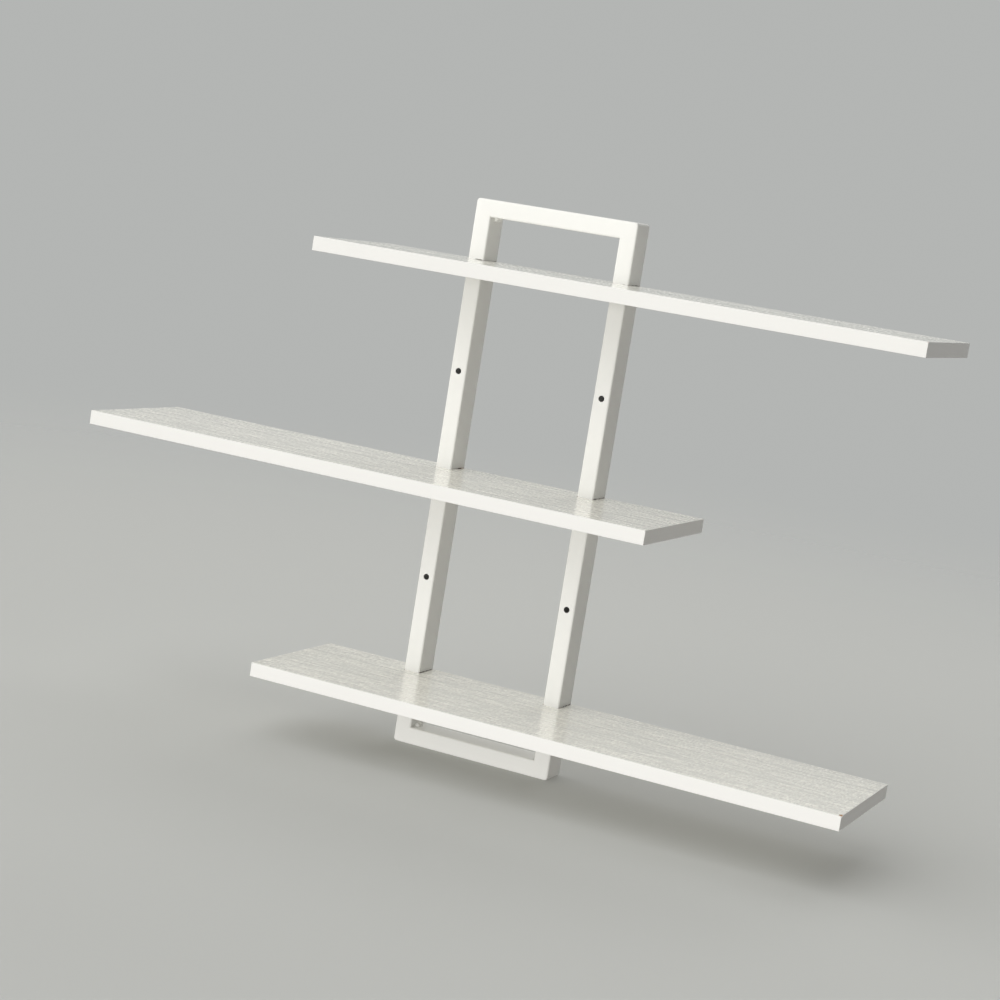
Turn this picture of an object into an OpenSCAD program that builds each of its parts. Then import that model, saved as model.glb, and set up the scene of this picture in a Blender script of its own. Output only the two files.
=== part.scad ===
// A wall shelf: three staggered, edge-banded boards on a welded frame of rectangular tube.
// X points right, Y points into the wall and Z points up. The origin is the centre of the four
// wall-screw holes, on the wall plane that the backs of the tubes and of the boards lie in.

/* [Boards] */
// Length of each board
board_l = 700; // [600:1:900]
// Thickness of each board
board_t = 16; // [12:0.5:25]
// How far the boards reach out in front of the tubes
board_reach = 150; // [90:1:240]
// Length of a board's short end, from the end to the side of its first notch
short_end = 120; // [60:1:200]
// Clear height between two boards
bay_h = 228; // [160:1:340]
// Side that the long ends of the top and bottom boards point to
long_end = "right"; // [right, left]

/* [Edge bands] */
// Thickness of the band along the front edge
front_band_t = 1; // [0.4:0.1:2]
// Thickness of the bands on the two ends
end_band_t = 0.6; // [0.4:0.1:2]
// Thickness of the bands along the rear edge
rear_band_t = 0.6; // [0.4:0.1:2]
// Radius scraped on the bands' long outer edges
band_r = 0.4; // [0.1:0.05:0.4]

/* [Frame] */
// Width of the frame over its two uprights
frame_w = 200; // [140:1:300]
// Width of the tube, seen from the front
tube_w = 20; // [16:0.5:30]
// Depth of the tube, from the wall to its front face
tube_d = 38; // [30:0.5:60]
// Wall of the tube
tube_wall = 1.5; // [1:0.1:2.5]
// Outer radius along the tube's four edges
tube_r = 2.2; // [1.6:0.1:4]
// How far the frame goes on above the top board and below the bottom board
frame_rise = 70; // [30:1:120]
// Radius ground on the frame's four outer corners
corner_r = 4; // [1:0.5:8]

/* [Welds] */
// Leg of the bead in each inner corner
weld_leg = 5; // [3:0.1:6]
// Length of the bead
weld_l = 15; // [10:0.5:20]
// Ripples in the bead
weld_ripples = 5; // [3:1:8]

/* [Notches and holes] */
// Gap between an upright and each side of its notch
notch_play = 0.6; // [0.2:0.1:1.5]
// Radius that the cutter leaves in the notch's inner corners
notch_r = 1.2; // [0.4:0.1:1.5]
// Diameter of the holes for the wall screws, drilled through both walls of the tube
wall_hole_d = 7; // [4:0.1:9]
// Gap round the shank of a board screw in the tube's front wall
shank_play = 0.4; // [0.1:0.05:1]
// Gap round the head of a board screw in its access hole in the tube's rear wall
access_play = 1; // [0.5:0.1:2]
// Gap between a board screw and its pilot hole
pilot_play = 0.05; // [0.02:0.01:0.2]
// How far the pilot hole goes on past the screw's point
pilot_spare = 3; // [1:0.5:8]

/* [Board screws] */
// Diameter of the shank over its thread
screw_d = 4; // [3:0.1:5]
// Length of the shank under the head
screw_l = 35; // [20:1:50]
// Diameter of the head
head_d = 8; // [6:0.1:10]
// Height of the head
head_h = 2.6; // [1.8:0.1:4]
// Radius of the head's crown
crown_r = 5.5; // [5:0.1:9]
// Width of the slots of the cross in the head
cross_w = 1; // [0.6:0.1:1.4]
// Length of the slots of the cross in the head
cross_l = 4.4; // [3:0.1:5.5]
// Depth of the cross in the head
cross_depth = 1.6; // [1:0.1:1.7]

/* [Hidden] */
$fn = 64;
// What a cutter goes on past the face that it opens
past = 1;

// The boards, counted from the middle one
top = 1;
middle = 0;
bottom = -1;
// The sides of the frame and of a board
right = 1;
left = -1;

frame_white = [0.97, 0.97, 0.95];
board_white = [0.90, 0.89, 0.86];
band_white = [0.98, 0.98, 0.96];
screw_zinc = [0.74, 0.75, 0.77];

board_d = board_reach + tube_d;
pitch = board_t + bay_h;
frame_h = 2 * (frame_rise + pitch) + board_t;
// Middle of an upright, from the middle of the frame
upright_x = (frame_w - tube_w) / 2;
// Inner corners of the frame's window
window_x = frame_w / 2 - tube_w;
window_z = frame_h / 2 - tube_w;
tube_inner_r = max(0.3, tube_r - tube_wall);
notch_w = tube_w + 2 * notch_play;
// Outer and inner sides of the two notches, from the middle of the frame
notch_out = upright_x + notch_w / 2;
notch_in = upright_x - notch_w / 2;

// Height of the middle of a board
function board_z(i) = i * pitch;
// Whether a board's long end points to the right: the middle board points the other way
function points_right(i) = (i == middle) ? long_end != "right" : long_end == "right";
// X of a board's left end
function left_end(i) = points_right(i)
    ? -notch_out - short_end
    : notch_out + short_end - board_l;

// A rectangle about the origin with round corners
module round_rect(w, h, r) {
    square([w - 2 * r, h], center = true);
    square([w, h - 2 * r], center = true);
    for (x = [-1, 1], y = [-1, 1])
        translate([x * (w / 2 - r), y * (h / 2 - r)]) circle(r = r);
}

// A length of tube about the Z axis, with its depth along Y
module tube(l) {
    linear_extrude(height = l, center = true) difference() {
        round_rect(tube_w, tube_d, tube_r);
        round_rect(tube_w - 2 * tube_wall, tube_d - 2 * tube_wall, tube_inner_r);
    }
}

// A plate in the XZ plane from a 2D shape, over more than the tube's depth
module through_frame() {
    translate([0, past, 0]) rotate([90, 0, 0])
        linear_extrude(height = tube_d + 2 * past) children();
}

// The mitred space of the upright on one side, with the ground corners
module upright_space(side) {
    through_frame() intersection() {
        round_rect(frame_w, frame_h, corner_r);
        polygon([
            [side * frame_w / 2, -frame_h / 2], [side * frame_w / 2, frame_h / 2],
            [side * window_x, window_z], [side * window_x, -window_z]
        ]);
    }
}

// The mitred space of the rail at the top or the bottom, with the ground corners
module rail_space(end) {
    through_frame() intersection() {
        round_rect(frame_w, frame_h, corner_r);
        polygon([
            [-frame_w / 2, end * frame_h / 2], [frame_w / 2, end * frame_h / 2],
            [window_x, end * window_z], [-window_x, end * window_z]
        ]);
    }
}

// A bore along Y between two depths in front of the wall
module bore(d, from, to) {
    translate([0, -from, 0]) rotate([90, 0, 0]) cylinder(d = d, h = to - from);
}

// One upright: mitred tube with two holes for wall screws and a stepped hole for each board screw
module upright(side) {
    difference() {
        intersection() {
            translate([side * upright_x, -tube_d / 2, 0]) tube(frame_h);
            upright_space(side);
        }
        for (k = [-1, 1])
            translate([side * upright_x, 0, k * pitch / 2]) bore(wall_hole_d, -past, tube_d + past);
        for (i = [bottom, middle, top])
            translate([side * upright_x, 0, board_z(i)]) {
                bore(head_d + 2 * access_play, -past, tube_d / 2);
                bore(screw_d + 2 * shank_play, tube_d / 2, tube_d + past);
            }
    }
}

// One rail: mitred tube across the end of the frame
module rail(end) {
    intersection() {
        translate([0, -tube_d / 2, end * (frame_h - tube_w) / 2]) rotate([0, 90, 0]) tube(frame_w);
        rail_space(end);
    }
}

// Section of a weld bead through its axis: a row of round ripples on a filled core
module bead_section() {
    ripple_r = min(0.8 * weld_leg, weld_l / (weld_ripples + 2));
    step = (weld_l - 2 * ripple_r) / (weld_ripples - 1);
    intersection() {
        union() {
            translate([0, -weld_l / 2]) square([weld_leg - ripple_r, weld_l]);
            for (k = [0 : weld_ripples - 1])
                translate([weld_leg - ripple_r, k * step - weld_l / 2 + ripple_r]) circle(r = ripple_r);
        }
        translate([0, -weld_l / 2]) square([weld_leg, weld_l]);
    }
}

// A weld bead in the inner corner on one side at one end, half way along the joint
module weld(side, end) {
    first_angle = (side == right) ? ((end == top) ? 180 : 90) : ((end == top) ? 270 : 0);
    translate([side * window_x, -tube_d / 2, end * window_z])
        rotate([90, 0, 0]) rotate([0, 0, first_angle]) rotate_extrude(angle = 90) bead_section();
}

// Plan of the notch for one upright: its rear corners lie behind the board
module notch_plan(side) {
    translate([side * upright_x, past - tube_d / 2]) round_rect(notch_w, tube_d + 2 * past, notch_r);
}

// Core of a board: what is left inside the bands, with the notches and the pilot holes
module core(i) {
    first = left_end(i) + end_band_t;
    difference() {
        translate([first, front_band_t - board_d, board_z(i) - board_t / 2])
            cube([board_l - 2 * end_band_t, board_d - front_band_t - rear_band_t, board_t]);
        translate([0, 0, board_z(i) - board_t / 2 - past])
            linear_extrude(height = board_t + 2 * past)
                for (side = [left, right]) notch_plan(side);
        for (side = [left, right])
            translate([side * upright_x, 0, board_z(i)])
                bore(screw_d + 2 * pilot_play, tube_d - past, tube_d - tube_wall + screw_l + pilot_spare);
    }
}

// Section of a band, flat on the board at x = 0 and round at its outer edges
module band_section(t) {
    intersection() {
        translate([t - board_t / 2, 0]) round_rect(board_t, board_t, band_r);
        translate([0, -board_t / 2]) square([t, board_t]);
    }
}

// Band along the front edge: it covers the ends of the end bands
module front_band(i) {
    translate([left_end(i) + board_l, front_band_t - board_d, board_z(i)])
        rotate([90, 0, -90]) linear_extrude(height = board_l) band_section(front_band_t);
}

// Band on one end, between the front band and the rear band
module end_band(i, side) {
    end_x = (side == right) ? left_end(i) + board_l - end_band_t : left_end(i) + end_band_t;
    length = board_d - front_band_t - rear_band_t;
    translate([end_x, (side == right) ? -rear_band_t : front_band_t - board_d, board_z(i)])
        rotate([90, 0, (side == right) ? 0 : 180])
            linear_extrude(height = length) band_section(end_band_t);
}

// Bands along the rear edge, beside and between the notches
module rear_bands(i) {
    for (s = [[left_end(i), -notch_out], [-notch_in, notch_in], [notch_out, left_end(i) + board_l]])
        translate([s[0], -rear_band_t, board_z(i)])
            rotate([90, 0, 90]) linear_extrude(height = s[1] - s[0]) band_section(rear_band_t);
}

// A board screw: its head bears on the inside of the tube's front wall, its shank points forward
module board_screw() {
    translate([0, tube_wall - tube_d, 0]) rotate([90, 0, 0]) {
        cylinder(d = screw_d, h = screw_l - screw_d);
        translate([0, 0, screw_l - screw_d]) cylinder(d1 = screw_d, d2 = 0, h = screw_d);
        rotate([180, 0, 0]) difference() {
            intersection() {
                cylinder(d = head_d, h = head_h);
                translate([0, 0, head_h - crown_r]) sphere(r = crown_r);
            }
            for (a = [0, 90])
                translate([0, 0, head_h - cross_depth / 2 + past / 2]) rotate([0, 0, a])
                    cube([cross_l, cross_w, cross_depth + past], center = true);
        }
    }
}

// The two screws of a board
module board_screws(i) {
    for (side = [left, right]) translate([side * upright_x, 0, board_z(i)]) board_screw();
}

module left_upright() { color(frame_white) upright(left); }
module right_upright() { color(frame_white) upright(right); }
module top_rail() { color(frame_white) rail(top); }
module bottom_rail() { color(frame_white) rail(bottom); }
module corner_welds() {
    color(frame_white) for (side = [left, right], end = [bottom, top]) weld(side, end);
}

module top_board() { color(board_white) core(top); }
module top_front_band() { color(band_white) front_band(top); }
module top_left_band() { color(band_white) end_band(top, left); }
module top_right_band() { color(band_white) end_band(top, right); }
module top_rear_bands() { color(band_white) rear_bands(top); }
module top_screws() { color(screw_zinc) board_screws(top); }

module middle_board() { color(board_white) core(middle); }
module middle_front_band() { color(band_white) front_band(middle); }
module middle_left_band() { color(band_white) end_band(middle, left); }
module middle_right_band() { color(band_white) end_band(middle, right); }
module middle_rear_bands() { color(band_white) rear_bands(middle); }
module middle_screws() { color(screw_zinc) board_screws(middle); }

module bottom_board() { color(board_white) core(bottom); }
module bottom_front_band() { color(band_white) front_band(bottom); }
module bottom_left_band() { color(band_white) end_band(bottom, left); }
module bottom_right_band() { color(band_white) end_band(bottom, right); }
module bottom_rear_bands() { color(band_white) rear_bands(bottom); }
module bottom_screws() { color(screw_zinc) board_screws(bottom); }

left_upright();
right_upright();
top_rail();
bottom_rail();
corner_welds();
top_board();
top_front_band();
top_left_band();
top_right_band();
top_rear_bands();
top_screws();
middle_board();
middle_front_band();
middle_left_band();
middle_right_band();
middle_rear_bands();
middle_screws();
bottom_board();
bottom_front_band();
bottom_left_band();
bottom_right_band();
bottom_rear_bands();
bottom_screws();
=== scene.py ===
# %% [markdown]
# # A wall shelf of three staggered boards
# The real shelf is a narrow rectangle of white steel tube, welded at its corners. Three boards
# of white-faced chipboard are notched at the back, so that the tube passes through them, and
# each one is pulled against the tube by two screws that come from behind. This lesson dresses
# its exact construction model: every piece is made again with soft edges and a real finish,
# exactly where the construction model has it.

# %% Load the construction model
import math
import random

import bmesh
import bpy
from mathutils import Matrix, Vector


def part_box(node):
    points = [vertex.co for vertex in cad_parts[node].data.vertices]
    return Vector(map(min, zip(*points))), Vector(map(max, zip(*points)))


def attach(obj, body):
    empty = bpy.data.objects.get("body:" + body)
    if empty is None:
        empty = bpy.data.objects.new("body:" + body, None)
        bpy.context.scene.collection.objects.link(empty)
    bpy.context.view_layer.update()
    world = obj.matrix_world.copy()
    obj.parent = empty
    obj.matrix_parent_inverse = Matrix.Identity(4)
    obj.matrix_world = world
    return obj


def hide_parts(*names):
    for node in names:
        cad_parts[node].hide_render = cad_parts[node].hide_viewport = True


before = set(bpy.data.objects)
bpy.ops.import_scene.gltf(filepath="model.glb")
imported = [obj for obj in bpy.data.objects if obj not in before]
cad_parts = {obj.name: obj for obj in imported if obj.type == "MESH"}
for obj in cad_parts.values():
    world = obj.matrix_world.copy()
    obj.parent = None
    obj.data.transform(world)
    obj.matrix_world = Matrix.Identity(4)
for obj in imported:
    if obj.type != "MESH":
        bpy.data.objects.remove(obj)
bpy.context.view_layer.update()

MM = 0.001

# %% [markdown]
# ## The camera
# A camera comes first, because every later choice is judged through it. This one stands to the
# right of the shelf and a little above its middle, and it is turned about its own axis, because
# the shelf leans in the picture. Its place and its three turns could be typed as a matrix of
# nine numbers, but named angles say what they mean, so the matrix is worked out from them.

# %% Place the camera
CAMERA_PLACE = Vector((0.9934, -2.3909, 0.3257))
CAMERA_AZIMUTH = math.radians(23.153)
CAMERA_ELEVATION = math.radians(7.578)
CAMERA_ROLL = math.radians(9.060)
CAMERA_LENS = 80.84
CAMERA_REACH = 50


def new_object(name, data):
    """An object in the scene round a mesh, a lamp or a camera."""
    made = bpy.data.objects.new(name, data)
    bpy.context.scene.collection.objects.link(made)
    return made


def camera_matrix(place, azimuth, elevation, roll):
    """A camera at a place, turned left by azimuth, down by elevation, and rolled."""
    level = Matrix.Rotation(azimuth, 3, "Z") @ Matrix.Rotation(math.pi / 2 - elevation, 3, "X")
    turned = level @ Matrix.Rotation(roll, 3, "Z")
    return Matrix.Translation(place) @ turned.to_4x4()


camera = new_object("camera", bpy.data.cameras.new("camera"))
camera.matrix_world = camera_matrix(CAMERA_PLACE, CAMERA_AZIMUTH, CAMERA_ELEVATION, CAMERA_ROLL)
camera.data.lens = CAMERA_LENS
camera.data.clip_end = CAMERA_REACH
bpy.context.scene.camera = camera
bpy.context.scene.view_settings.view_transform = "Standard"
print("camera looks along", [round(v, 3) for v in camera.matrix_world.to_3x3() @ Vector((0, 0, -1))])

# %% [markdown]
# ## Sizes
# A dressed piece has to lie exactly on the construction model, so sizes are read from its
# boxes. Only what a box can't tell, such as a radius or a wall, is written here once more.

# %% Read the sizes
LEVELS = ("top", "middle", "bottom")

left_low, left_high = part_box("left_upright")
TUBE_W = left_high.x - left_low.x
TUBE_D = left_high.y - left_low.y
FRAME_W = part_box("right_upright")[1].x - left_low.x
FRAME_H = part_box("top_rail")[1].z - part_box("bottom_rail")[0].z
UPRIGHT_X = (FRAME_W - TUBE_W) / 2
BOARD_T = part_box("top_board")[1].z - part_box("top_board")[0].z
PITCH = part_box("top_board")[1].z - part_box("middle_board")[1].z

TUBE_WALL = 1.5 * MM
TUBE_R = 2.2 * MM
CORNER_R = 4.0 * MM
WALL_HOLE_R = 3.5 * MM
ACCESS_R = 5.0 * MM
SHANK_HOLE_R = 2.4 * MM
NOTCH_PLAY = 0.6 * MM
NOTCH_R = 1.2 * MM
BAND_R = 0.4 * MM
print("frame", round(FRAME_W / MM), "x", round(FRAME_H / MM), "mm, boards every", round(PITCH / MM), "mm")

# %% [markdown]
# ## Small tools for node trees
# A material in Blender is a tree of nodes, and so is a Geometry Nodes tree. Adding a node, setting
# its inputs and linking it takes the same three steps each time, so one helper does them. The
# nodes that come back again and again, such as arithmetic, a change of range or noise, have a
# helper of their own that hands back the result, so that a formula can be read like one.

# %% Helpers for nodes
def feed(tree, node, values):
    """Sets or links the inputs of a node that are named in values."""
    for name, value in values.items():
        if isinstance(value, bpy.types.NodeSocket):
            tree.links.new(value, node.inputs[name])
        else:
            node.inputs[name].default_value = value


def add(tree, kind, values=None, **settings):
    """Adds a node, sets its properties, and feeds its inputs."""
    made = tree.nodes.new(kind)
    for name, value in settings.items():
        setattr(made, name, value)
    feed(tree, made, values or {})
    return made


def outcome(tree, kind, values=None, **settings):
    """The first output of a new node."""
    return add(tree, kind, values, **settings).outputs[0]


def calc(tree, operation, *operands):
    """The result of one step of arithmetic."""
    return outcome(tree, "ShaderNodeMath", dict(enumerate(operands)), operation=operation)


def times(tree, one, other):
    """The product of two numbers."""
    return calc(tree, "MULTIPLY", one, other)


def ramp(tree, value, start, end, low=0.0, high=1.0, **settings):
    """Low where a value is at start, high where it is at end, and no less or more than these."""
    return outcome(tree, "ShaderNodeMapRange", {
        "Value": value, "From Min": start, "From Max": end, "To Min": low, "To Max": high,
    }, **settings)


def scaled(tree, vector, factor):
    """A colour or a vector times a number."""
    return outcome(tree, "ShaderNodeVectorMath", {0: vector, "Scale": factor}, operation="SCALE")


def axes(tree, vector):
    """The three numbers in a vector."""
    return list(add(tree, "ShaderNodeSeparateXYZ", {0: vector}).outputs)


def vector_of(tree, x=0.0, y=0.0, z=0.0):
    """A vector from three numbers."""
    return outcome(tree, "ShaderNodeCombineXYZ", {"X": x, "Y": y, "Z": z})


# %% [markdown]
# Groups and materials have helpers too. A group's inputs are given as names with default values,
# and the kind of socket follows from the value. Only sockets without a value, such as a
# material's, are named by a word. Patterns read Object coordinates, because these stay with the
# piece, wherever it goes.

# %% Helpers for groups and materials
def socket_kind(default):
    """The kind of socket that suits a default value, or the kind that a word names."""
    if isinstance(default, str):
        return default
    if isinstance(default, tuple):
        return "Color" if len(default) == 4 else "Vector"
    return "Int" if isinstance(default, int) else "Float"


def new_group(name, kind, inputs, outputs):
    """An empty node group, as its tree, the sockets that it is given, and its result node."""
    tree = bpy.data.node_groups.new(name, kind)
    for socket, default in inputs.items():
        socket_type = "NodeSocket" + socket_kind(default)
        made = tree.interface.new_socket(socket, in_out="INPUT", socket_type=socket_type)
        if not isinstance(default, str):
            made.default_value = default
    for socket, word in outputs.items():
        tree.interface.new_socket(socket, in_out="OUTPUT", socket_type="NodeSocket" + word)
    print("group:", name, "takes", ", ".join(inputs))
    return tree, tree.nodes.new("NodeGroupInput").outputs, tree.nodes.new("NodeGroupOutput")


def use_group(tree, group, values):
    """Places a shader group in a material's tree, feeds it, and hands back its outputs."""
    return add(tree, "ShaderNodeGroup", values, node_tree=group).outputs


def new_material(name, **sockets):
    """A material with one Principled shader, as (material, tree, shader)."""
    material = bpy.data.materials.new(name)
    material.use_nodes = True
    shader = material.node_tree.nodes["Principled BSDF"]
    for socket, value in sockets.items():
        shader.inputs[socket.replace("_", " ")].default_value = value
    print("material:", name)
    return material, material.node_tree, shader


def on_object(tree):
    """Object coordinates, in metres."""
    return add(tree, "ShaderNodeTexCoord").outputs["Object"]


def soft_noise(tree, vector, scale, detail=2.0, roughness=0.5):
    """Noise between 0 and 1."""
    return outcome(tree, "ShaderNodeTexNoise", {
        "Vector": vector, "Scale": scale, "Detail": detail, "Roughness": roughness,
    })


# %% [markdown]
# ## Effects that several finishes share
# No factory finish is perfectly even. Paint, melamine and plastic all drift a little in tone over
# a hand's width, and most have a fine skin: the orange peel of powder coat, or the faint texture
# of plastic band. Each effect is a group with its own scale and strength, so that one group
# serves every finish.

# %% Uneven tone
def make_uneven_tone():
    tree, given, result = new_group(
        "uneven tone", "ShaderNodeTree",
        {"Color": (0.8, 0.8, 0.8, 1), "Spread": 0.02, "Scale": 8.0, "Rough": 0.4, "Rough spread": 0.05},
        {"Color": "Color", "Roughness": "Float"},
    )
    drift = soft_noise(tree, on_object(tree), given["Scale"], detail=3.0, roughness=0.55)
    centred = calc(tree, "SUBTRACT", drift, 0.5)
    swing = times(tree, centred, given["Spread"])
    factor = calc(tree, "MULTIPLY_ADD", swing, 2.0, 1.0)
    feed(tree, result, {
        "Color": scaled(tree, given["Color"], factor),
        "Roughness": calc(tree, "MULTIPLY_ADD", centred, given["Rough spread"], given["Rough"]),
    })
    return tree


uneven_tone = make_uneven_tone()

# %% Fine skin
def make_fine_skin():
    tree, given, result = new_group(
        "fine skin", "ShaderNodeTree", {"Cell": 2.0, "Depth": 0.02}, {"Height": "Float"})
    cells_per_metre = calc(tree, "DIVIDE", 1 / MM, given["Cell"])
    peel = soft_noise(tree, on_object(tree), cells_per_metre)
    feed(tree, result, {"Height": times(tree, peel, given["Depth"])})
    return tree


fine_skin = make_fine_skin()

# %% [markdown]
# ## Embossed grain
# The boards' white faces are pressed against a steel plate that has a fine grain etched in it.
# Long shallow streaks run along the board, broader bands lie under them, short fine ticks cross
# both, so that the face looks a little like linen, and here and there a thin line runs on for a
# long way. A photograph of a real face would show its seam and repeat. Noise doesn't: each layer
# is noise that is stretched to its own length and width, and a slower noise bends the layers a
# little. The group gives three things. One is a height in millimetres. One is a shade near 1,
# because low places hold a little shadow that a bump alone doesn't show. The third is a gloss:
# hands and cloths dull the raised streaks while the low ones stay glossier, which is why such a
# face shows its grain best at a flat angle.

# %% Grain group
WAVER_SCALE = 0.012
BAND_LONGER, BAND_WIDER = 2.2, 3.2
LINE_LONGER, LINE_WIDER = 14.0, 1.5
LINE_FROM, LINE_TO = 0.64, 0.74
LEVEL_SHIFT = 0.37
LAYER_ROUGHNESS = 0.6


def make_grain():
    tree, given, result = new_group(
        "embossed grain", "ShaderNodeTree",
        {
            "Streak length": 26.0, "Streak width": 2.6, "Tick length": 6.5, "Tick width": 2.3,
            "Waver": 2.0, "Depth": 0.2, "Streaks": 0.75, "Bands": 0.50, "Ticks": 0.75, "Lines": 0.25,
            "Shading": 0.33, "Gloss": 0.71, "Gloss swing": 2.8,
        },
        {"Height": "Float", "Shade": "Float", "Gloss": "Float"},
    )
    in_mm = scaled(tree, on_object(tree), 1 / MM)
    x, y, z = axes(tree, in_mm)
    sway = calc(tree, "SUBTRACT", soft_noise(tree, in_mm, WAVER_SCALE), 0.5)
    bent_y = calc(tree, "MULTIPLY_ADD", sway, times(tree, given["Waver"], 2.0), y)

    def layer(along, across, seed, detail):
        """Noise stretched to a size along the board and across it, in millimetres."""
        place = vector_of(
            tree, calc(tree, "DIVIDE", x, along), calc(tree, "DIVIDE", bent_y, across),
            calc(tree, "MULTIPLY_ADD", z, LEVEL_SHIFT, seed))
        return soft_noise(tree, place, 1.0, detail, LAYER_ROUGHNESS)

    def larger_layer(longer, wider, seed, detail):
        """A layer whose marks are some times as long and as wide as a streak."""
        along = times(tree, given["Streak length"], longer)
        return layer(along, times(tree, given["Streak width"], wider), seed, detail)

    streaks = layer(given["Streak length"], given["Streak width"], seed=3.0, detail=3.0)
    bands = larger_layer(BAND_LONGER, BAND_WIDER, seed=11.0, detail=3.0)
    ticks = layer(given["Tick width"], given["Tick length"], seed=23.0, detail=1.0)
    long_marks = larger_layer(LINE_LONGER, LINE_WIDER, seed=37.0, detail=0.0)
    lines = ramp(tree, long_marks, LINE_FROM, LINE_TO, 0.0, -1.0)

    relief = times(tree, lines, given["Lines"])
    for drawn, strength in ((streaks, "Streaks"), (bands, "Bands"), (ticks, "Ticks")):
        centred = calc(tree, "SUBTRACT", drawn, 0.5)
        relief = calc(tree, "MULTIPLY_ADD", centred, given[strength], relief)
    sunk = times(tree, relief, -1.0)
    gloss = calc(tree, "MULTIPLY_ADD", sunk, given["Gloss swing"], given["Gloss"])
    feed(tree, result, {
        "Height": times(tree, relief, given["Depth"]),
        "Shade": calc(tree, "MULTIPLY_ADD", relief, given["Shading"], 1.0),
        "Gloss": outcome(tree, "ShaderNodeClamp", {"Value": gloss}),
    })
    return tree


embossed_grain = make_grain()

# %% [markdown]
# ## Finishes
# Five finishes cover the shelf: powder coat on the steel, melamine on the boards' faces, plastic
# band on their edges, bare chipboard where the notches were cut, and zinc on the screws. Colours
# are linear values a little under what a lit white reaches, so that nothing burns out. All but
# the chipboard begin alike, with an uneven tone and a relief, so one function makes that much.

# %% What most finishes share
def bump(tree, height):
    """The normal of a surface that has a height in millimetres."""
    return outcome(tree, "ShaderNodeBump", {"Height": height, "Distance": MM, "Strength": 1.0})


def make_finish(name, tone_values, relief_group, relief_values, **sockets):
    """A material with a tone and a relief, as (material, tree, shader, tone, relief)."""
    material, tree, shader = new_material(name, **sockets)
    tone = use_group(tree, uneven_tone, tone_values)
    relief = use_group(tree, relief_group, relief_values)
    feed(tree, shader, {
        "Base Color": tone["Color"], "Roughness": tone["Roughness"],
        "Normal": bump(tree, relief["Height"]),
    })
    return material, tree, shader, tone, relief


# %% [markdown]
# ## Powder coat
# The frame's paint is satin and almost white. Where a board was pushed over a tube and now grips
# its sides, the shade in the gap between them is painted into the paint's colour as a dark broken
# line less than a millimetre high. A thin dark strip could be modelled there. A mask is simpler
# and follows every face: it wraps height by the boards' pitch, keeps what lies just above a
# board's top, lets noise break it up, and leaves out the back and the lower fronts.

# %% Paint the frame
GAP_SHADE_FULL, GAP_SHADE_GONE = 0.5 * MM, 1.0 * MM
GAP_SHADE_BREAKS_SCALE = 0.11 / MM
GAP_SHADE_BROKEN, GAP_SHADE_WHOLE = 0.47, 0.56
# The colour of the painted shade in the gap where a board grips a tube.
GAP_SHADE_COLOR = (0.075, 0.062, 0.050, 1)


def gap_shade_mask(tree):
    """1 where gap shade is painted: just above each board, on the sides, and at the top also in front."""
    place = on_object(tree)
    _, y, z = axes(tree, place)
    above = calc(tree, "SUBTRACT", z, BOARD_T / 2)
    height = calc(tree, "ABSOLUTE", calc(tree, "WRAP", above, PITCH / 2, -PITCH / 2))
    close = ramp(tree, height, GAP_SHADE_FULL, GAP_SHADE_GONE, 1.0, 0.0)
    kept = ramp(tree, soft_noise(tree, place, GAP_SHADE_BREAKS_SCALE), GAP_SHADE_BROKEN, GAP_SHADE_WHOLE)
    behind = calc(tree, "GREATER_THAN", y, -TUBE_R)
    front = calc(tree, "LESS_THAN", y, TUBE_R / 2 - TUBE_D)
    lower = calc(tree, "LESS_THAN", z, PITCH / 2)
    # No painted gap shade on the back, nor on the fronts below the top board.
    unshaded = calc(tree, "MULTIPLY_ADD", front, lower, behind)
    shaded_part = calc(tree, "SUBTRACT", 1.0, unshaded)
    return times(tree, times(tree, close, kept), shaded_part)


def make_powder_coat():
    material, tree, shader, tone, _ = make_finish("white powder coat", {
        "Color": (0.846, 0.845, 0.824, 1), "Spread": 0.02, "Scale": 9.0,
        "Rough": 0.36, "Rough spread": 0.10,
    }, fine_skin, {"Cell": 2.4, "Depth": 0.05})
    # The painted gap shade is mixed into the paint's colour here.
    mix = {0: gap_shade_mask(tree), "A": tone["Color"], "B": GAP_SHADE_COLOR}
    painted = add(tree, "ShaderNodeMix", mix, data_type="RGBA")
    feed(tree, shader, {"Base Color": painted.outputs["Result"]})
    return material


powder_coat = make_powder_coat()

# %% [markdown]
# ## Melamine
# A board's faces are white paper, soaked in resin and pressed hard and clear. One even, half
# rough surface could stand for that, but it would hardly mirror the tubes' feet at a flat angle,
# as the real face does. So it has two layers, like the real one: a satin white base with the
# grain's shade, and a clear coat over it whose strength is the grain's gloss.

# %% Melamine
def make_melamine():
    material, tree, shader, tone, grain = make_finish("white melamine", {
        "Color": (0.930, 0.920, 0.855, 1), "Spread": 0.02, "Scale": 5.0,
        "Rough": 0.32, "Rough spread": 0.10,
    }, embossed_grain, {}, Coat_Roughness=0.10, Coat_IOR=1.6)
    shaded = scaled(tree, tone["Color"], grain["Shade"])
    feed(tree, shader, {"Base Color": shaded, "Coat Weight": grain["Gloss"]})
    return material


melamine = make_melamine()

# %% [markdown]
# ## Edge band
# The band is coloured plastic, a little cooler than the melamine beside it. It could share the
# melamine's finish, but real band has no etched grain, only a faint texture from its rollers, so
# it takes the tone and the skin with finer values, and no clear coat.

# %% Edge band
edge_band, *_ = make_finish("white edge band", {
    "Color": (0.865, 0.86, 0.84, 1), "Spread": 0.015, "Scale": 12.0,
    "Rough": 0.3, "Rough spread": 0.08,
}, fine_skin, {"Cell": 1.2, "Depth": 0.02})

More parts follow.
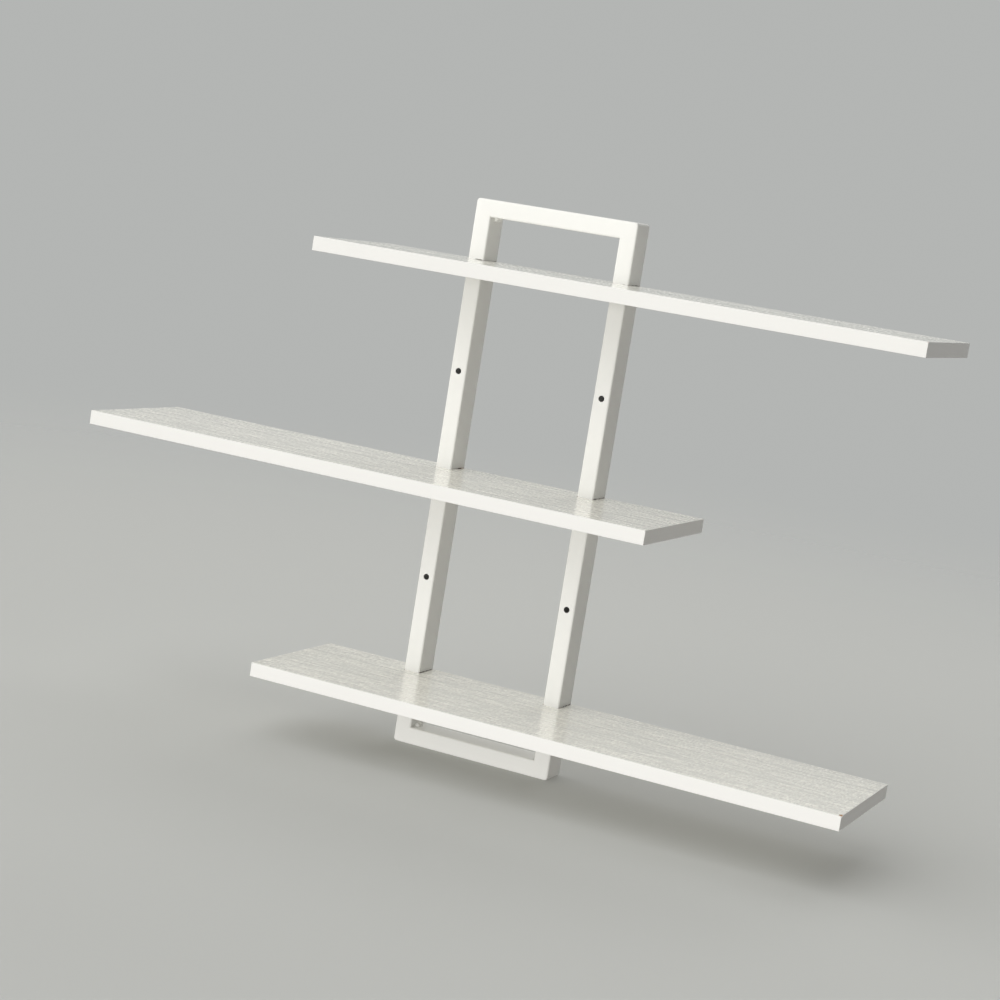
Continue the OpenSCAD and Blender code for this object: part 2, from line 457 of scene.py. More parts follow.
# %% [markdown]
# ## Bare chipboard
# Sawn chipboard shows brown flakes with small dark pits between them. A picture of it would have
# to be laid on each sawn face, and only slivers of them can be seen. Voronoi cells are enough:
# they serve as the flakes, and the distance from a cell's middle darkens and sinks its edge.

# %% Bare chipboard
FLAKE_SCALE = 0.6 / MM
FLAKE_MIDDLE, FLAKE_EDGE = 0.1, 0.8
FLAKE_LIGHT, FLAKE_DARK = 1.1, 0.55
PIT_DEPTH = 0.25


def make_chipboard():
    material, tree, shader = new_material("bare chipboard", Roughness=0.85)
    from_middle = outcome(tree, "ShaderNodeTexVoronoi", {
        "Vector": on_object(tree), "Scale": FLAKE_SCALE,
    })
    shadow = ramp(tree, from_middle, FLAKE_MIDDLE, FLAKE_EDGE, FLAKE_LIGHT, FLAKE_DARK)
    tone = use_group(tree, uneven_tone, {
        "Color": (0.50, 0.27, 0.13, 1), "Spread": 0.25, "Scale": 300.0,
    })
    feed(tree, shader, {
        "Base Color": scaled(tree, tone["Color"], shadow),
        "Normal": bump(tree, times(tree, from_middle, -PIT_DEPTH)),
    })
    return material


chipboard = make_chipboard()

# %% [markdown]
# ## Zinc
# The screws are steel with a bright zinc plating, which is a little cloudy. Plain grey metal would
# look polished. The uneven tone, at a scale of a few millimetres, gives the clouds, and a very
# fine skin breaks up the highlights.

# %% Zinc
zinc, *_ = make_finish("bright zinc", {
    "Color": (0.62, 0.63, 0.65, 1), "Spread": 0.12, "Scale": 400.0,
    "Rough": 0.32, "Rough spread": 0.2,
}, fine_skin, {"Cell": 0.6, "Depth": 0.01}, Metallic=1.0)

# %% [markdown]
# ## Small tools for meshes
# Every piece ends the same way: a plain mesh at the origin, smooth where it is round and crisp
# where it is flat, which rides on the shelf's one body and stands for its construction piece.
# Weighted normals keep the wide flat faces flat right up to their rounded edges.

# %% Helpers for meshes
MERGE = 0.001 * MM
ON_FACE = 0.01 * MM


def coat(mesh, *materials):
    """Gives a mesh these materials and no others."""
    mesh.materials.clear()
    for material in materials:
        mesh.materials.append(material)


def mesh_from(name, form, *materials):
    """A mesh from a bmesh, with its faces turned outwards."""
    bmesh.ops.recalc_face_normals(form, faces=form.faces)
    mesh = bpy.data.meshes.new(name)
    form.to_mesh(mesh)
    form.free()
    coat(mesh, *materials)
    return mesh


def box_form(low, high):
    """A bmesh box between two corners."""
    form = bmesh.new()
    bmesh.ops.create_cube(form, size=1.0)
    for v in form.verts:
        v.co = Vector([low[k] + (v.co[k] + 0.5) * (high[k] - low[k]) for k in range(3)])
    return form


# %% Helpers for pieces
CREASE = math.radians(38)


def modify(made, kind, **settings):
    """Puts a modifier on an object and sets its properties."""
    modifier = made.modifiers.new(kind.lower(), kind)
    for name, value in settings.items():
        setattr(modifier, name, value)
    return modifier


def bake(made):
    """Applies every modifier of an object to its mesh, and takes the modifiers off."""
    bpy.context.view_layer.update()
    graph = bpy.context.evaluated_depsgraph_get()
    flat = bpy.data.meshes.new_from_object(
        made.evaluated_get(graph), preserve_all_data_layers=True, depsgraph=graph)
    made.modifiers.clear()
    old = made.data
    made.data = flat
    bpy.data.meshes.remove(old)
    return made


def cut_away(made, cutter_mesh, operation="DIFFERENCE"):
    """Cuts one mesh from an object, or keeps only what lies inside it."""
    cutter = new_object("cutter", cutter_mesh)
    modify(made, "BOOLEAN", object=cutter, operation=operation, solver="EXACT")
    bake(made)
    bpy.data.objects.remove(cutter)


def shade(made):
    """Smooth across round edges, crisp at creases, flat on wide faces."""
    made.data.shade_smooth()
    made.data.set_sharp_from_angle(angle=CREASE)
    modify(made, "WEIGHTED_NORMAL", keep_sharp=True, mode="FACE_AREA_WITH_ANGLE")
    return bake(made)


def enter(made, slot, *nodes):
    """Makes an object a piece of the shelf, in place of the named construction pieces."""
    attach(made, "root")
    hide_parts(*nodes)
    print(made.name, "has", len(made.data.polygons), "faces")
    return made


# %% [markdown]
# ## The tubes
# The real frame is four lengths of 20 by 38 mm tube, mitred, welded and ground flush, so each
# outer corner has a small radius that the tube's own round edge follows. A box with bevels would
# give solid bars with no inside to look into. Sweeping one section keeps the wall true: each
# point of the section has an inset from the frame's outside, and it travels along a rounded
# rectangle with that inset. The corner's radius shrinks as the inset grows, and the inner
# corners stay sharp, as they do on the real thing.

# %% Section of the tube
ROUND_STEPS = 6
CORNER_STEPS = 5


def arc(x, y, radius, start, turn, steps):
    """Points on an arc round (x, y), from a start and on by a turn, both in degrees."""
    angles = [math.radians(start + turn * k / steps) for k in range(steps + 1)]
    return [(x + radius * math.cos(angle), y + radius * math.sin(angle)) for angle in angles]


def rounded_section(inset, radius):
    """Points (inset, depth) round the tube's section, or round its bore when inset is its wall."""
    points = []
    corners = (
        (TUBE_W - inset, -inset, 0), (inset, -inset, 90),
        (inset, inset - TUBE_D, 180), (TUBE_W - inset, inset - TUBE_D, 270),
    )
    for u, y, start in corners:
        centre_u = u - radius if u > TUBE_W / 2 else u + radius
        centre_y = y - radius if y > -TUBE_D / 2 else y + radius
        points += arc(centre_u, centre_y, radius, start, 90, ROUND_STEPS)
    return points


# %% Sweep one tube between two corners
def path_point(inset, y, corner, angle):
    """A point at depth y on the rounded rectangle with this inset, on the arc at one corner."""
    radius = max(CORNER_R - inset, 0)
    x = corner[0] * (FRAME_W / 2 - inset - radius) + radius * math.cos(angle)
    z = corner[1] * (FRAME_H / 2 - inset - radius) + radius * math.sin(angle)
    return x, y, z


def join_rings(form, one, two):
    """Faces between two rings of points."""
    for k in range(len(one)):
        form.faces.new((one[k - 1], one[k], two[k], two[k - 1]))


def sweep_tube(name, first, second, outward):
    """A mitred tube from the middle of one corner's arc to the middle of the next one's."""
    stations = []
    for corner, start in ((first, outward + 45), (second, outward)):
        for step in range(CORNER_STEPS + 1):
            stations.append((corner, math.radians(start - 45 * step / CORNER_STEPS)))
    form = bmesh.new()
    shells = []
    for section in (rounded_section(0, TUBE_R), rounded_section(TUBE_WALL, TUBE_R - TUBE_WALL)):
        rings = []
        for station in stations:
            rings.append([form.verts.new(path_point(*point, *station)) for point in section])
        shells.append(rings)
        for one, two in zip(rings, rings[1:]):
            join_rings(form, one, two)
    for end in (0, -1):
        join_rings(form, shells[0][end], shells[1][end])
    bmesh.ops.remove_doubles(form, verts=form.verts, dist=MERGE)
    return new_object(name, mesh_from(name, form, powder_coat))


# %% [markdown]
# ## Small tools for Geometry Nodes
# Three kinds of things repeat by a rule here: drilled holes, the puddles of a weld, and screws.
# All three trees put a shape on each point of a line, and all end alike, with real geometry that
# has its material, because copies that are only instances would be lost in the export.

# %% Helpers for Geometry Nodes
QUARTER_TURN = (math.pi / 2, 0, 0)


def moved(tree, geometry, place=(0, 0, 0), turn=(0, 0, 0)):
    """A shape that is turned and then moved."""
    return outcome(tree, "GeometryNodeTransform", {
        "Geometry": geometry, "Translation": place, "Rotation": turn,
    })


def cylinder(tree, radius, depth, vertices=48):
    return outcome(tree, "GeometryNodeMeshCylinder", {
        "Vertices": vertices, "Radius": radius, "Depth": depth,
    })


def point_row(tree, count, start, step):
    """Points in a row, each one a step from the last."""
    return outcome(tree, "GeometryNodeMeshLine", {
        "Count": count, "Start Location": start, "Offset": step,
    })


def copies(tree, points, shape, size=(1, 1, 1)):
    """A shape on each point, as instances."""
    return outcome(tree, "GeometryNodeInstanceOnPoints", {
        "Points": points, "Instance": shape, "Scale": size,
    })


def real(tree, geometry):
    """Instances turned into real geometry."""
    return outcome(tree, "GeometryNodeRealizeInstances", {"Geometry": geometry})


def combine(tree, operation, tools, body=None):
    """The tools cut from a body, or what all the tools have in common."""
    made = add(tree, "GeometryNodeMeshBoolean", operation=operation, solver="EXACT")
    if body is not None:
        tree.links.new(body, made.inputs["Mesh 1"])
    for tool in tools:
        tree.links.new(tool, made.inputs["Mesh 2"])
    return made.outputs["Mesh"]


def end_tree(tree, geometry, material, result):
    """Ends a tree with real geometry that has its material."""
    dressed = outcome(tree, "GeometryNodeSetMaterial", {
        "Geometry": real(tree, geometry), "Material": material,
    })
    feed(tree, result, {"Geometry": dressed})
    return tree


def new_shape_tree(name, inputs):
    """An empty tree that takes and gives geometry, and takes a material after its other inputs."""
    taken = {"Geometry": "Geometry", **inputs, "Material": "Material"}
    return new_group(name, "GeometryNodeTree", taken, {"Geometry": "Geometry"})


def run_tree(made, tree, values):
    """Runs a Geometry Nodes tree on an object with named input values, and keeps the result."""
    modifier = modify(made, "NODES", node_group=tree)
    for item in tree.interface.items_tree:
        if item.item_type == "SOCKET" and item.in_out == "INPUT" and item.name in values:
            modifier[item.identifier] = values[item.name]
    return bake(made)


# %% [markdown]
# ## Drilling
# Each upright has a row of two holes for wall screws through both walls, a row of three wide holes
# in the rear wall that let a screw's head and the driver in, and a row of three close holes in
# the front wall. Holes in a row repeat by a rule, so one Geometry Nodes tree drills any row: a
# line of points, a cylinder on each point, and one cut. Its inputs are the row's sizes.

# %% Geometry Nodes tree that drills a row of holes
def make_drill_row():
    tree, given, result = new_shape_tree("drill row", {
        "Count": 2, "Pitch": 0.1, "Radius": 0.003, "Column": 0.0,
        "Depth middle": 0.0, "Depth span": 0.05,
    })
    gaps = calc(tree, "SUBTRACT", given["Count"], 1.0)
    start_z = times(tree, times(tree, gaps, given["Pitch"]), -0.5)
    start = vector_of(tree, given["Column"], given["Depth middle"], start_z)
    row = point_row(tree, given["Count"], start, vector_of(tree, z=given["Pitch"]))
    bit = moved(tree, cylinder(tree, given["Radius"], given["Depth span"]), turn=QUARTER_TURN)
    cutters = real(tree, copies(tree, row, bit))
    drilled = combine(tree, "DIFFERENCE", [cutters], given["Geometry"])
    return end_tree(tree, drilled, given["Material"], result)


drill_row = make_drill_row()

# %% [markdown]
# A drilled edge that is painted isn't sharp: the powder rounds it. So the rims of the holes get a
# small bevel afterwards. They are the edges of the cut that lie on a face of the tube, at the
# hole's own radius from its axis.

# %% Drill the holes and soften their rims
RIM_SOFTNESS = 0.35 * MM
RIM_SLACK = 0.02 * MM
# The number of holes in a row, their radius, and the depth and the length of the cut.
DRILLED_ROWS = (
    (2, WALL_HOLE_R, -TUBE_D / 2, TUBE_D + 2 * MM),
    (3, ACCESS_R, 0.0, 2 * TUBE_WALL + MM),
    (3, SHANK_HOLE_R, -TUBE_D, 2 * TUBE_WALL + MM),
)


def soften_rims(made, column):
    """Bevels the outer rims of the drilled holes of one upright."""
    form = bmesh.new()
    form.from_mesh(made.data)
    rims = []
    for count, radius, _, _ in DRILLED_ROWS:
        for k in range(count):
            height = (k - (count - 1) / 2) * PITCH
            for edge in form.edges:
                on_rim = all(
                    min(abs(v.co.y), abs(v.co.y + TUBE_D)) < ON_FACE
                    and abs(math.hypot(v.co.x - column, v.co.z - height) - radius) < RIM_SLACK
                    for v in edge.verts
                )
                if on_rim:
                    rims.append(edge)
    bmesh.ops.bevel(form, geom=rims, offset=RIM_SOFTNESS, segments=2, profile=0.5, affect="EDGES")
    form.to_mesh(made.data)
    form.free()
    return len(rims)


def drill(made, column):
    """Drills the three rows of holes of one upright and softens their rims."""
    for count, radius, middle, span in DRILLED_ROWS:
        run_tree(made, drill_row, {
            "Count": count, "Pitch": PITCH, "Radius": radius, "Column": column,
            "Depth middle": middle, "Depth span": span, "Material": powder_coat,
        })
    print(made.name, "has", soften_rims(made, column), "softened rim edges")


# %% Make the four tubes
# The corners where a tube starts and ends, as signs of x and z, and the angle that its outer side
# looks at.
TUBES = {
    "left_upright": ((-1, -1), (-1, 1), 180),
    "right_upright": ((1, 1), (1, -1), 0),
    "top_rail": ((-1, 1), (1, 1), 90),
    "bottom_rail": ((1, -1), (-1, -1), -90),
}


def make_tube(node):
    first, second, outward = TUBES[node]
    made = sweep_tube(node + "_tube", first, second, outward)
    if node.endswith("upright"):
        drill(made, first[0] * UPRIGHT_X)
    return enter(shade(made), "frame_paint", node)


for node in TUBES:
    make_tube(node)

# %% [markdown]
# ## The weld beads
# In each inner corner sits a short bead of weld, about as long as a fingernail is wide, painted
# over with the rest. A welder lays a bead as a row of small puddles, each frozen on the one
# before, so Geometry Nodes put a row of flat round puddles along each corner, uneven in size and
# a little out of line. A voxel remesh then melts them into one skin, as the weld itself did.

# %% Geometry Nodes tree that lays the puddles
WELD_LEG = 5 * MM
WELD_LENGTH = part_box("corner_welds")[1].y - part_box("corner_welds")[0].y
PUDDLES = 5
WOBBLE = (0.5 * MM, 0.3 * MM, 0.5 * MM)
SMALL_PUDDLE, LARGE_PUDDLE = (0.80, 0.40, 0.80), (1.0, 0.52, 1.0)


def random_vector(tree, low, high, seed):
    """A different vector for each point, between two limits."""
    return outcome(tree, "FunctionNodeRandomValue", {
        0: low, 1: high, "Seed": seed,
    }, data_type="FLOAT_VECTOR")


def make_weld_puddles():
    tree, given, result = new_shape_tree("weld puddles", {
        "Puddles": PUDDLES, "Length": WELD_LENGTH, "Radius": WELD_LEG,
        "Window": (0.1, 0.1, 0.0), "Depth middle": -0.02, "Seed": 4,
    })
    window_x, window_z, _ = axes(tree, given["Window"])
    corners = outcome(tree, "GeometryNodeMeshGrid", {
        "Size X": window_x, "Size Y": window_z, "Vertices X": 2, "Vertices Y": 2,
    })
    deep = vector_of(tree, y=given["Depth middle"])
    upright_corners = moved(tree, corners, deep, QUARTER_TURN)
    free = calc(tree, "SUBTRACT", given["Length"], given["Radius"])
    gaps = calc(tree, "SUBTRACT", given["Puddles"], 1.0)
    step = vector_of(tree, y=calc(tree, "DIVIDE", free, gaps))
    start = vector_of(tree, y=times(tree, free, -0.5))
    row = point_row(tree, given["Puddles"], start, step)
    in_line = real(tree, copies(tree, upright_corners, row))
    wobble = random_vector(tree, [-limit for limit in WOBBLE], WOBBLE, given["Seed"])
    points = outcome(tree, "GeometryNodeSetPosition", {"Geometry": in_line, "Offset": wobble})
    ball = outcome(tree, "GeometryNodeMeshUVSphere", {
        "Segments": 24, "Rings": 16, "Radius": given["Radius"],
    })
    uneven = random_vector(tree, SMALL_PUDDLE, LARGE_PUDDLE, given["Seed"])
    puddles = copies(tree, points, ball, uneven)
    return end_tree(tree, puddles, given["Material"], result)


# %% Melt and trim the beads
MELT_VOXEL = 0.3 * MM
RELAX_STRENGTH, RELAX_ROUNDS = 0.5, 4


def make_welds():
    window_x, window_z = FRAME_W - 2 * TUBE_W, FRAME_H - 2 * TUBE_W
    made = new_object("corner_weld_beads", bpy.data.meshes.new("welds"))
    run_tree(made, make_weld_puddles(), {
        "Window": (window_x, window_z, 0.0), "Depth middle": -TUBE_D / 2, "Material": powder_coat,
    })
    modify(made, "REMESH", mode="VOXEL", voxel_size=MELT_VOXEL)
    modify(made, "SMOOTH", factor=RELAX_STRENGTH, iterations=RELAX_ROUNDS)
    bake(made)
    low, high = (-window_x / 2, -TUBE_D, -window_z / 2), (window_x / 2, 0, window_z / 2)
    cut_away(made, mesh_from("box", box_form(low, high)), "INTERSECT")
    coat(made.data, powder_coat)
    return enter(shade(made), "frame_paint", "corner_welds")


make_welds()

# %% [markdown]
# ## The board cores
# A core is a plain slab with two notches in its rear edge. Its outline is drawn once in plan and
# pushed up by the board's thickness. The two broad faces are melamine and every sawn face is bare
# chipboard, so each face takes its finish from the way that it looks.

# %% Outline of a board in plan
NOTCH_STEPS = 4


def board_outline(low, high):
    """The core's outline, counter-clockwise from its front left corner, with both notches."""
    half = TUBE_W / 2 + NOTCH_PLAY
    points = [(low.x, low.y), (high.x, low.y), (high.x, high.y)]
    for side in (1, -1):
        right, left = side * UPRIGHT_X + half, side * UPRIGHT_X - half
        points.append((right, high.y))
        points += arc(right - NOTCH_R, NOTCH_R - TUBE_D, NOTCH_R, 0, -90, NOTCH_STEPS)
        points += arc(left + NOTCH_R, NOTCH_R - TUBE_D, NOTCH_R, -90, -90, NOTCH_STEPS)
        points.append((left, high.y))
    points.append((low.x, high.y))
    return points


# %% [markdown]
# Chipboard breaks rather than dents. The front right corner of the bottom board has lost a crumb,
# which shows the brown core, the top board has a tiny one in the same place, and the cutter has
# chipped the melamine beside one notch of the middle board. A crumb's hole is a rough ball taken
# out of everything that it meets, so a ball with uneven points is the cutter for the core and
# for its bands alike.

# %% Chips in the melamine
# The place that a chip is measured from, its offset and its radii in millimetres, and its seed.
CHIPS = {
    "bottom": [("right front corner", (-1.0, 3.9, 0.4), (3.2, 3.6, 1.8), 5),
               ("right front corner", (0.3, -0.3, 0.2), (1.4, 1.3, 1.8), 3)],
    "middle": [("left notch", (0.6, 3.5, 0.3), (1.7, 4.5, 1.3), 9),
               ("left notch", (0.3, 11.5, 0.2), (1.2, 4.6, 1.1), 12)],
    "top": [("right front corner", (-0.4, 0.6, 0.3), (1.3, 1.4, 0.9), 7)],
}
CRUMB_LEAST, CRUMB_MOST = 0.8, 1.15
BOARD_PARTS = ("board", "front_band", "left_band", "right_band", "rear_bands")


def rough_ball(centre, radii, seed):
    """A ball with uneven points, as the hole that a crumb leaves."""
    form = bmesh.new()
    bmesh.ops.create_icosphere(form, subdivisions=2, radius=1.0)
    uneven = random.Random(seed)
    for v in sorted(form.verts, key=lambda v: (v.co.x, v.co.y, v.co.z)):
        v.co *= uneven.uniform(CRUMB_LEAST, CRUMB_MOST)
        v.co = Vector([centre[k] + v.co[k] * radii[k] * MM for k in range(3)])
    return mesh_from("crumb", form)


def chip_place(level, where, offset):
    """Where a chip lies, from the corner of the whole board or the notch that it is named for."""
    boxes = [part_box(level + "_" + part) for part in BOARD_PARTS]
    top_z = max(high.z for low, high in boxes)
    if where == "right front corner":
        corner = Vector((max(high.x for low, high in boxes), min(low.y for low, high in boxes), top_z))
    else:
        corner = Vector((-UPRIGHT_X + TUBE_W / 2 + NOTCH_PLAY, -TUBE_D / 2, top_z))
    return corner + Vector(offset) * MM


def chip(made, level):
    """Takes every chip of a level out of a piece."""
    for where, offset, radii, seed in CHIPS[level]:
        cut_away(made, rough_ball(chip_place(level, where, offset), radii, seed))


# %% Make the three cores
FLAT = 0.999


def make_core(level):
    low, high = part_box(level + "_board")
    form = bmesh.new()
    outline = [form.verts.new((x, y, low.z)) for x, y in board_outline(low, high)]
    pushed = bmesh.ops.extrude_face_region(form, geom=[form.faces.new(outline)])
    top_verts = [g for g in pushed["geom"] if isinstance(g, bmesh.types.BMVert)]
    bmesh.ops.translate(form, verts=top_verts, vec=(0, 0, high.z - low.z))
    made = new_object(level + "_board_core", mesh_from(level, form, melamine, chipboard))
    chip(made, level)
    coat(made.data, melamine, chipboard)
    for face in made.data.polygons:
        height = face.center.z
        outside = min(abs(height - low.z), abs(height - high.z)) < ON_FACE
        face.material_index = 0 if outside and abs(face.normal.z) > FLAT else 1
    return enter(shade(made), "board", level + "_board")


for level in LEVELS:
    make_core(level)

# %% [markdown]
# ## The edge bands
# A band is glued on flat and its two long edges are then scraped round, flush with the melamine.
# That thin round edge is what draws the bright line along a real board. Each band is a box
# whose outer edges alone are bevelled, because its inner edges lie against the core.

# %% Make the edge bands
BAND_STEPS = 3
BAND_SHARE = 0.9
X_AXIS, Y_AXIS = 0, 1


def band_form(low, high, axis, outward, round_ends=False):
    """A strip between two corners. Its outer face has round long edges, and perhaps round ends."""
    form = box_form(low, high)
    face_at = high[axis] if outward > 0 else low[axis]

    def wanted(edge):
        on_face = all(abs(v.co[axis] - face_at) < MERGE for v in edge.verts)
        upright = abs(edge.verts[0].co.z - edge.verts[1].co.z) > MERGE
        return on_face and (round_ends or not upright)

    rounded = [e for e in form.edges if wanted(e)]
    radius = min(BAND_R, BAND_SHARE * (high[axis] - low[axis]))
    bmesh.ops.bevel(form, geom=rounded, offset=radius, segments=BAND_STEPS, profile=0.5, affect="EDGES")
    return form


def make_band(level, part, axis, outward, round_ends=False):
    node = level + "_" + part
    low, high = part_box(node)
    form = band_form(low, high, axis, outward, round_ends)
    made = new_object(node + "_strip", mesh_from(node, form, edge_band))
    chip(made, level)
    return enter(shade(made), "edge_band", node)


def make_rear_bands(level):
    """The rear band is cut into three by the notches: the parts stay one piece, as one node."""
    node = level + "_rear_bands"
    low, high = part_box(node)
    outer, inner = UPRIGHT_X + TUBE_W / 2 + NOTCH_PLAY, UPRIGHT_X - TUBE_W / 2 - NOTCH_PLAY
    form = bmesh.new()
    for x0, x1 in ((low.x, -outer), (-inner, inner), (outer, high.x)):
        start, end = Vector((x0, low.y, low.z)), Vector((x1, high.y, high.z))
        part = band_form(start, end, axis=Y_AXIS, outward=1)
        part_mesh = mesh_from("part", part)
        form.from_mesh(part_mesh)
        bpy.data.meshes.remove(part_mesh)
    made = new_object(node + "_strip", mesh_from(node, form, edge_band))
    return enter(shade(made), "edge_band", node)


for level in LEVELS:
    make_band(level, "front_band", axis=Y_AXIS, outward=-1, round_ends=True)
    make_band(level, "left_band", axis=X_AXIS, outward=-1)
    make_band(level, "right_band", axis=X_AXIS, outward=1)
    make_rear_bands(level)

# %% [markdown]
# ## The board screws
# Two pan-head chipboard screws hold each board. They hide inside the tube, and only their heads
# can be seen through the access holes from behind. A screw is a few simple solids that follow
# rules: a shank, a point, a helix for the thread and a domed head with a cross cut in it. All of
# them are nodes in one tree, which also sets the two screws of a board a frame's width apart.

# %% Shank, point and thread of a screw
SCREW_LENGTH = 35 * MM
CORE_R = 1.45 * MM
POINT_SLIMNESS = 2.4
RIDGE_R = 0.45 * MM
THREAD_PITCH = 1.8 * MM


def raised(tree, geometry, height):
    return moved(tree, geometry, vector_of(tree, z=height))


def screw_shank(tree, given):
    """The shank, the point and the thread, upwards from the underside of the head."""
    core = given["Core radius"]
    point_length = times(tree, core, POINT_SLIMNESS)
    length = calc(tree, "SUBTRACT", given["Length"], point_length)
    shank = cylinder(tree, core, length, vertices=24)
    point = outcome(tree, "GeometryNodeMeshCone", {
        "Vertices": 24, "Radius Top": 0.0, "Radius Bottom": core, "Depth": point_length,
    })
    helix = outcome(tree, "GeometryNodeCurveSpiral", {
        "Resolution": 16, "Rotations": calc(tree, "DIVIDE", length, given["Thread pitch"]),
        "Start Radius": core, "End Radius": core, "Height": length,
    })
    ridge = outcome(tree, "GeometryNodeCurvePrimitiveCircle", {"Resolution": 3, "Radius": RIDGE_R})
    thread = outcome(tree, "GeometryNodeCurveToMesh", {
        "Curve": helix, "Profile Curve": ridge, "Fill Caps": True,
    })
    half = times(tree, length, 0.5)
    return [raised(tree, shank, half), raised(tree, point, length), thread]


# %% Head of a screw
HEAD_R = 4.0 * MM
HEAD_H = 2.6 * MM
CROWN_R = 5.5 * MM
CROSS_L, CROSS_W, CROSS_D = 4.4 * MM, 1.0 * MM, 1.6 * MM


def screw_head(tree, given):
    """A short barrel rounded by a large ball, with a cross cut into it."""
    height = given["Head height"]
    barrel = cylinder(tree, given["Head radius"], height)
    crown = outcome(tree, "GeometryNodeMeshUVSphere", {
        "Segments": 48, "Rings": 32, "Radius": given["Crown radius"],
    })
    dome = combine(tree, "INTERSECT", [
        raised(tree, barrel, times(tree, height, -0.5)),
        raised(tree, crown, calc(tree, "SUBTRACT", given["Crown radius"], height)),
    ])
    top = times(tree, height, -1.0)
    slots = []
    for size_x, size_y in ((CROSS_L, CROSS_W), (CROSS_W, CROSS_L)):
        slot = outcome(tree, "GeometryNodeMeshCube", {"Size": (size_x, size_y, 2 * CROSS_D)})
        slots.append(raised(tree, slot, top))
    return combine(tree, "DIFFERENCE", slots, dome)


# %% Geometry Nodes tree for a pair of screws
def make_screw_pair():
    tree, given, result = new_shape_tree("screw pair", {
        "Length": SCREW_LENGTH, "Core radius": CORE_R, "Head radius": HEAD_R, "Head height": HEAD_H,
        "Crown radius": CROWN_R, "Thread pitch": THREAD_PITCH, "Spacing": 0.18, "Place": (0, 0, 0),
    })
    screw = add(tree, "GeometryNodeJoinGeometry")
    for part in (*screw_shank(tree, given), screw_head(tree, given)):
        tree.links.new(part, screw.inputs["Geometry"])
    forward = moved(tree, screw.outputs["Geometry"], turn=QUARTER_TURN)
    half = vector_of(tree, x=times(tree, given["Spacing"], -0.5))
    first = outcome(tree, "ShaderNodeVectorMath", {0: half, 1: given["Place"]}, operation="ADD")
    pair = point_row(tree, 2, first, vector_of(tree, x=given["Spacing"]))
    return end_tree(tree, copies(tree, pair, forward), given["Material"], result)


screw_pair = make_screw_pair()

# %% Set the screws
for level in LEVELS:
    low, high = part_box(level + "_board")
    screws = new_object(level + "_board_screws", bpy.data.meshes.new("screws"))
    run_tree(screws, screw_pair, {
        "Spacing": 2 * UPRIGHT_X, "Place": (0, TUBE_WALL - TUBE_D, (low.z + high.z) / 2), "Material": zinc,
    })
    enter(shade(screws), "screw_zinc", level + "_screws")

# %% [markdown]
# ## The studio
# White on white needs care: the background has to be pale and still darker than the shelf, and no
# face may burn out. A pale floor touches the shelf's lowest tube and fades into a world of the
# same pale grey, so no horizon shows behind it. The world is that grey for the camera and for
# reflections. For everything else it is a dimmer light that falls off towards the right, so that
# the faces that look right stay readable, and grows again below the horizon, where a real floor
# throws light back up. The floor doesn't do that itself: the lamps' wide discs reach below the
# horizon, and a floor that stopped them would darken the lowest fronts. So it catches the
# shelf's shadow but casts none, and from below it is clear, to let the undersides be seen.

# %% World
BACKDROP = (0.455, 0.465, 0.455, 1)
AMBIENT_COLOR = (1.0, 0.97, 0.915, 1)
AMBIENT_LEFT, AMBIENT_RIGHT = 0.38, 0.14
FLOOR_GLOW = 0.16
GLOW_FROM, GLOW_FULL = 0.1, -0.3


def make_world():
    world = bpy.data.worlds.new("studio")
    bpy.context.scene.world = world
    world.use_nodes = True
    tree = world.node_tree
    tree.nodes.clear()
    rays = add(tree, "ShaderNodeLightPath").outputs
    seen = calc(tree, "MAXIMUM", rays["Is Camera Ray"], rays["Is Glossy Ray"])
    shown = calc(tree, "MAXIMUM", seen, rays["Is Transmission Ray"])
    x, _, z = axes(tree, add(tree, "ShaderNodeTexCoord").outputs["Generated"])
    around = ramp(tree, x, -1.0, 1.0, AMBIENT_LEFT, AMBIENT_RIGHT)
    below = ramp(tree, z, GLOW_FROM, GLOW_FULL, 0.0, FLOOR_GLOW)
    light = outcome(tree, "ShaderNodeBackground", {
        "Color": AMBIENT_COLOR, "Strength": calc(tree, "ADD", around, below),
    })
    backdrop = outcome(tree, "ShaderNodeBackground", {"Color": BACKDROP, "Strength": 1.0})
    choice = outcome(tree, "ShaderNodeMixShader", {0: shown, 1: light, 2: backdrop})
    add(tree, "ShaderNodeOutputWorld", {"Surface": choice})
    print("world:", AMBIENT_LEFT, "on the left,", AMBIENT_RIGHT, "on the right")


make_world()

# %% Floor
FLOOR_COLOR = (0.56, 0.57, 0.56, 1)
FLOOR_RADIUS = 9.0
FADE_FROM, FADE_TO = 0.9, 3.6


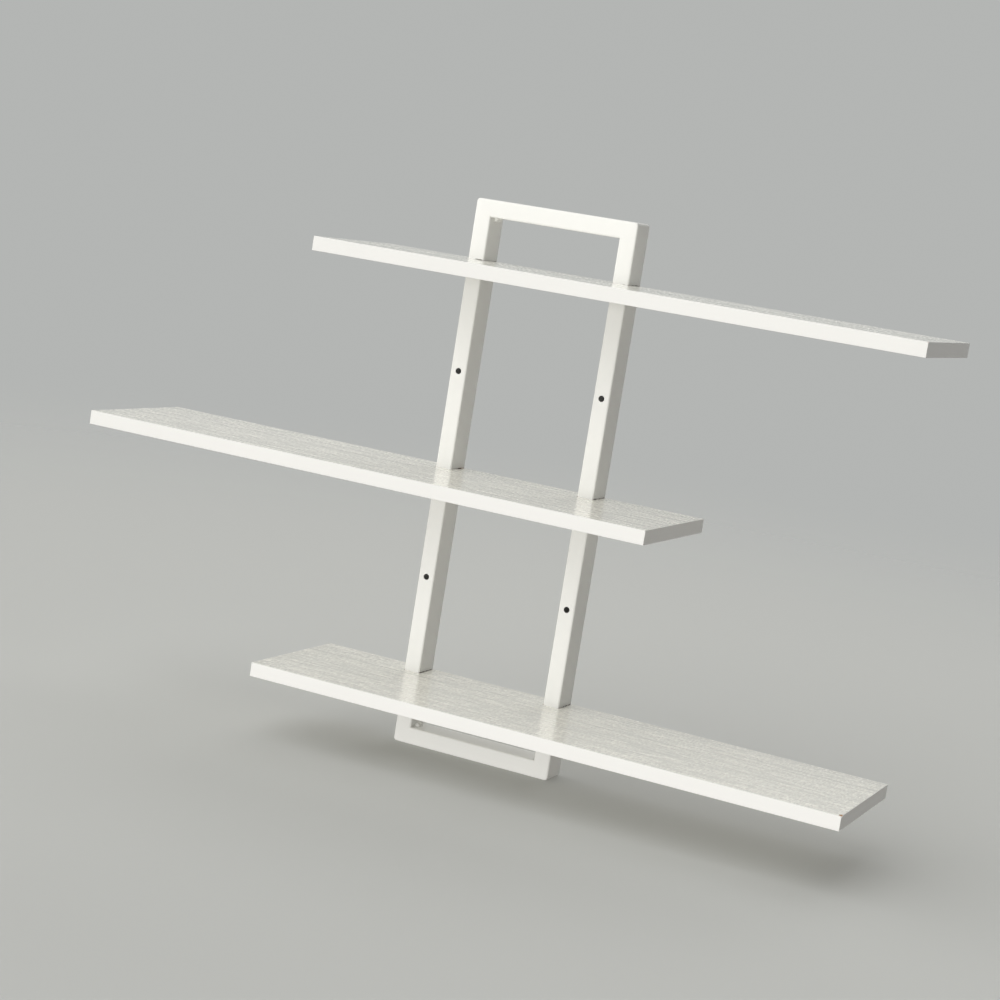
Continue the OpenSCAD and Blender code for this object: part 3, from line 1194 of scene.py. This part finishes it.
def make_floor():
    material, tree, shader = new_material(
        "pale floor", Base_Color=FLOOR_COLOR, Roughness=0.9, Specular_IOR_Level=0.1)
    distance = add(tree, "ShaderNodeVectorMath", {0: on_object(tree)}, operation="LENGTH")
    fade = ramp(
        tree, distance.outputs["Value"], FADE_FROM, FADE_TO, interpolation_type="SMOOTHSTEP")
    side = add(tree, "ShaderNodeNewGeometry")
    gone = calc(tree, "MAXIMUM", fade, side.outputs["Backfacing"])
    clear = outcome(tree, "ShaderNodeBsdfTransparent")
    mixed = outcome(tree, "ShaderNodeMixShader", {0: gone, 1: shader.outputs[0], 2: clear})
    feed(tree, tree.nodes["Material Output"], {"Surface": mixed})
    form = bmesh.new()
    bmesh.ops.create_circle(form, cap_ends=True, segments=96, radius=FLOOR_RADIUS)
    floor = new_object("floor", mesh_from("floor", form, material))
    floor.location = (0, 0, -FRAME_H / 2)
    floor.visible_shadow = False
    floor.visible_diffuse = False
    print("floor at", round(floor.location.z, 3))


make_floor()

# %% [markdown]
# ## The lamps
# The shelf is nearly a metre wide, and a lamp close by would light one end more than the other.
# Distant soft lamps light both ends alike, and a sun lamp with a wide disc is just that. The key
# is low and nearly frontal, with a broad fill beside it, so fronts are brightest and the sides
# that look right are darkest. A high lamp lifts the boards' tops and lays a soft shade under each
# board. Two lamps behind, one high and one low, light the back. The low lamps would mirror in the
# half-gloss boards at a flat angle and burn a white patch into them, so only the two high ones
# are seen in reflections.

# %% Lamps
LAMP_COLOR = (0.99, 0.99, 0.97)
LAMP_DISTANCE = 3


def distant_lamp(name, azimuth, elevation, disc, strength, mirrored=False):
    """A sun lamp that shines from azimuth degrees left of the front, at a height in degrees."""
    lamp = bpy.data.lights.new(name, "SUN")
    lamp.angle = math.radians(disc)
    lamp.energy = strength
    lamp.color = LAMP_COLOR
    made = new_object(name, lamp)
    left, up = math.radians(azimuth), math.radians(elevation)
    towards = Vector((-math.sin(left) * math.cos(up), -math.cos(left) * math.cos(up), math.sin(up)))
    made.rotation_euler = towards.to_track_quat("Z", "Y").to_euler()
    made.location = LAMP_DISTANCE * towards
    made.visible_glossy = mirrored
    print("lamp:", name, "with a strength of", strength)


distant_lamp("key", azimuth=4, elevation=1, disc=12, strength=0.86)
distant_lamp("front fill", azimuth=20, elevation=4, disc=60, strength=0.74)
distant_lamp("overhead", azimuth=46, elevation=50, disc=80, strength=1.65, mirrored=True)
distant_lamp("high rear", azimuth=172, elevation=56, disc=50, strength=0.50, mirrored=True)
distant_lamp("rear fill", azimuth=180, elevation=8, disc=36, strength=1.20)
